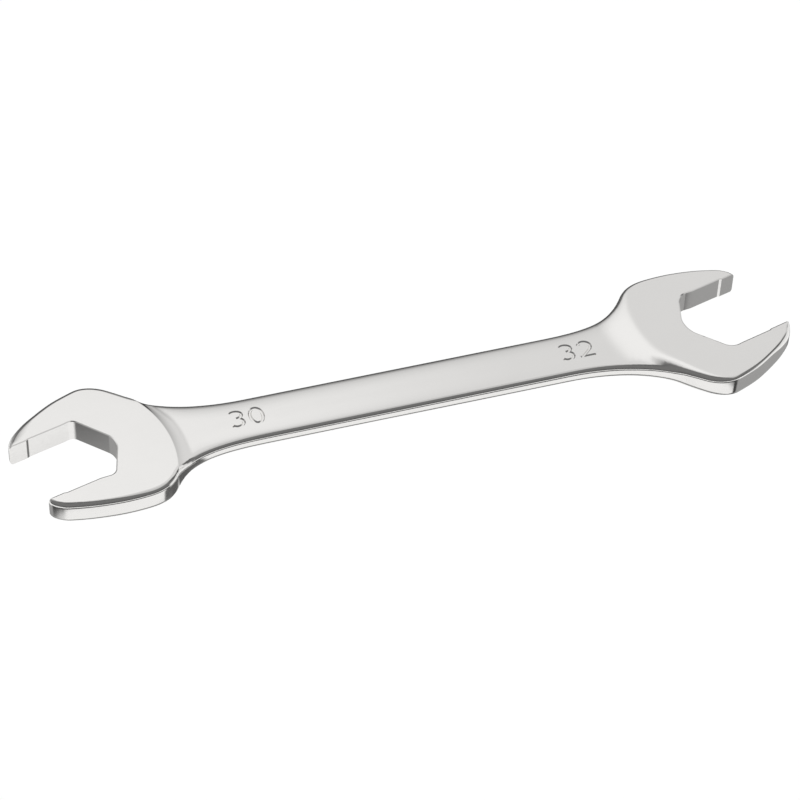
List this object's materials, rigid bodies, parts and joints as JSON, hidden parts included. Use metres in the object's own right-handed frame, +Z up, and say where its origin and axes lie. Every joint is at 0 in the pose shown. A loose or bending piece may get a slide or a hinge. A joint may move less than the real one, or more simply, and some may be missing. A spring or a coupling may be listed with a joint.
{
  "type": "double open end wrench",
  "caption": "Double open-end wrench, forged in one piece: a slim flat shank with an angled jaw for hexagon nuts at each end, satin chrome plated.",
  "frame": {"origin": "under the middle of the wrench's box, on the surface that it lies on", "axes": "+X along the shank towards the larger head, +Y across the shank in the plane of the heads, +Z up, out of the face that carries the stamped size numbers"},
  "size_m": [0.3056, 0.063, 0.0097],
  "materials": {
    "satin_chrome": "satin chrome plate on forged steel, with finely polished rims and flat faces"
  },
  "bodies": {
    "root": {"wrench_body": "satin_chrome"}
  },
  "joints": []
}
